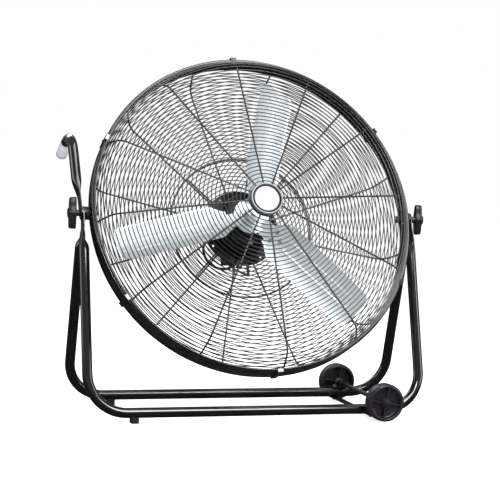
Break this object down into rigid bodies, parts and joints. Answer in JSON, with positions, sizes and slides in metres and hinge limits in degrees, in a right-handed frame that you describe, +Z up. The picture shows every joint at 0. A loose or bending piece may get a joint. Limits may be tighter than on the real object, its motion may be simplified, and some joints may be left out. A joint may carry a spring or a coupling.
{
  "type": "tilting drum floor fan",
  "caption": "Wheeled drum-type floor fan: tilting wire-guarded head with pitched metal blades, crossed U-tube stand and carry handle.",
  "frame": {"origin": "middle of the outer box, on the floor", "axes": "+X to the right along the bottom tubes towards the wheels, +Y to the back, +Z up; the fan blows towards -Y"},
  "size_m": [0.935, 0.4882, 0.8978],
  "materials": {
    "tube_black": "gloss black enamel",
    "guard_black": "gloss black coated wire",
    "band_black": "gloss black enamel on sheet steel",
    "blade_metal": "bright mill finish",
    "hub_metal": "bright mill finish",
    "rivet_metal": "bright",
    "zinc_steel": "zinc plated",
    "axle_steel": "black paint",
    "ground_steel": "ground steel",
    "copper_winding": "enamelled copper",
    "motor_paint": "satin black paint",
    "black_plastic": "fine grain black",
    "lead_black": "black vinyl",
    "switch_plastic": "dark grey",
    "capacitor_shell": "white plastic can",
    "wheel_plastic": "moulded black",
    "foot_rubber": "black rubber",
    "grip_grey": "soft light grey",
    "grip_cap": "dark grey",
    "badge_rim": "metallic grey",
    "badge_white": "gloss white, blank"
  },
  "bodies": {
    "stand": {"front_leg": "tube_black", "rear_leg": "tube_black", "handle_tube": "tube_black", "handle_grip": "grip_grey", "grip_end_cap": "grip_cap", "wheel_axle": "axle_steel", "axle_brackets": "axle_steel", "axle_brace": "axle_steel", "brace_bolts": "zinc_steel", "axle_washers": "zinc_steel", "axle_caps": "axle_steel", "rubber_feet": "foot_rubber", "foot_screws": "zinc_steel"},
    "head": {"drum_band": "band_black", "front_guard_rings": "guard_black", "front_guard_spokes": "guard_black", "front_guard_rim": "guard_black", "rear_guard_rings": "guard_black", "rear_guard_spokes": "guard_black", "rear_guard_rim": "guard_black", "motor_support_wires": "guard_black", "badge_plate": "black_plastic", "badge_ring": "badge_rim", "badge_disc": "badge_white", "guard_clips": "band_black", "clip_screws": "axle_steel", "pivot_brackets": "band_black", "bracket_rivets": "rivet_metal", "pivot_nuts": "zinc_steel", "pivot_spacers": "black_plastic", "motor_plate": "motor_paint", "motor_rear_shell": "motor_paint", "motor_front_shell": "motor_paint", "stator_core": "ground_steel", "stator_windings": "copper_winding", "motor_bearings": "ground_steel", "motor_through_bolts": "axle_steel", "switch_box": "black_plastic", "speed_switch": "switch_plastic", "run_capacitor": "capacitor_shell", "cord_gland": "black_plastic", "lead_guide": "lead_black", "motor_lead": "lead_black"},
    "rotor": {"motor_shaft": "ground_steel", "rotor_core": "ground_steel", "blade_hub": "hub_metal", "blade_spider": "hub_metal", "blade_1": "blade_metal", "blade_2": "blade_metal", "blade_3": "blade_metal", "blade_rivets": "rivet_metal", "hub_screw": "zinc_steel"},
    "front_wheel": {"front_wheel": "wheel_plastic"},
    "rear_wheel": {"rear_wheel": "wheel_plastic"},
    "left_knob": {"left_knob": "black_plastic", "left_knob_stud": "zinc_steel"},
    "right_knob": {"right_knob": "black_plastic", "right_knob_stud": "zinc_steel"},
    "speed_knob": {"speed_knob": "black_plastic"}
  },
  "joints": [
    {"name": "head_tilt", "type": "hinge", "parent": "stand", "child": "head", "pos_m": [0, -0.0138, 0.496], "axis": [1, 0, 0], "range_deg": [-67, 113]},
    {"name": "fan_spin", "type": "hinge", "parent": "head", "child": "rotor", "pos_m": [0, -0.01932, 0.49834], "axis": [0, -0.9205, 0.3907], "continuous": true},
    {"name": "front_wheel_spin", "type": "hinge", "parent": "stand", "child": "front_wheel", "pos_m": [0.314, -0.1828, 0.0475], "axis": [0, 1, 0], "continuous": true},
    {"name": "rear_wheel_spin", "type": "hinge", "parent": "stand", "child": "rear_wheel", "pos_m": [0.314, 0.1552, 0.0475], "axis": [0, 1, 0], "continuous": true},
    {"name": "left_knob_turn", "type": "hinge", "parent": "stand", "child": "left_knob", "pos_m": [-0.4575, -0.0138, 0.496], "axis": [-1, 0, 0], "range_deg": [0, 360]},
    {"name": "right_knob_turn", "type": "hinge", "parent": "stand", "child": "right_knob", "pos_m": [0.4575, -0.0138, 0.496], "axis": [1, 0, 0], "range_deg": [0, 360]},
    {"name": "speed_knob_turn", "type": "hinge", "parent": "head", "child": "speed_knob", "pos_m": [-0.03, 0.0988, 0.40041], "axis": [0, 0.9205, -0.3907], "range_deg": [0, 120]}
  ]
}
